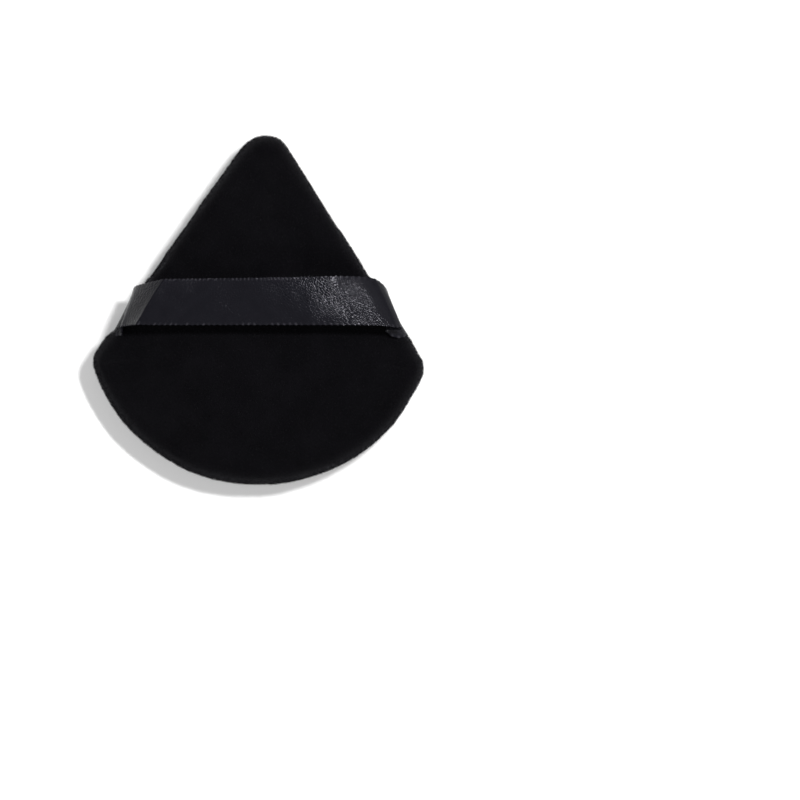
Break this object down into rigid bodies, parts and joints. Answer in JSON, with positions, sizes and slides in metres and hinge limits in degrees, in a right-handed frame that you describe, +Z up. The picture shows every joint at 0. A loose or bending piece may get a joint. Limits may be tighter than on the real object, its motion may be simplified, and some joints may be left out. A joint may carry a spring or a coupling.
{
  "type": "powder puff",
  "caption": "Fan-shaped velour powder puff with a rounded tip, a foam core and a satin ribbon strap across its back for a finger.",
  "frame": {"origin": "centre of the bounding box in plan, on the plane that the working face rests on", "axes": "+Z up from the working face to the back and strap, +Y towards the pointed tip, +X across, along the strap"},
  "size_m": [0.07, 0.0746, 0.0185],
  "materials": {
    "velour": "matte",
    "satin_ribbon": "satin",
    "thread": "matte",
    "foam": "matte"
  },
  "bodies": {
    "puff": {"face_cover": "velour", "back_cover": "velour", "foam_core": "foam", "seam_thread": "thread", "closing_stitches": "thread", "tack_stitches_left": "thread", "tack_stitches_right": "thread", "strap_end_left": "satin_ribbon", "strap_end_right": "satin_ribbon"},
    "strap_sides": {"strap_side_left": "satin_ribbon", "strap_side_right": "satin_ribbon"},
    "strap_top": {"strap_middle": "satin_ribbon"}
  },
  "joints": [
    {"name": "strap_sway", "type": "hinge", "parent": "puff", "child": "strap_sides", "pos_m": [0, -0.00025, 0.0054], "axis": [1, 0, 0], "range_deg": [-25, 25], "stiffness_Nm_per_rad": 0.0003},
    {"name": "strap_lift", "type": "slide", "parent": "strap_sides", "child": "strap_top", "axis": [0, 0, 1], "range_m": [0, 0.008], "deforming": ["strap_side_left", "strap_side_right"]}
  ]
}
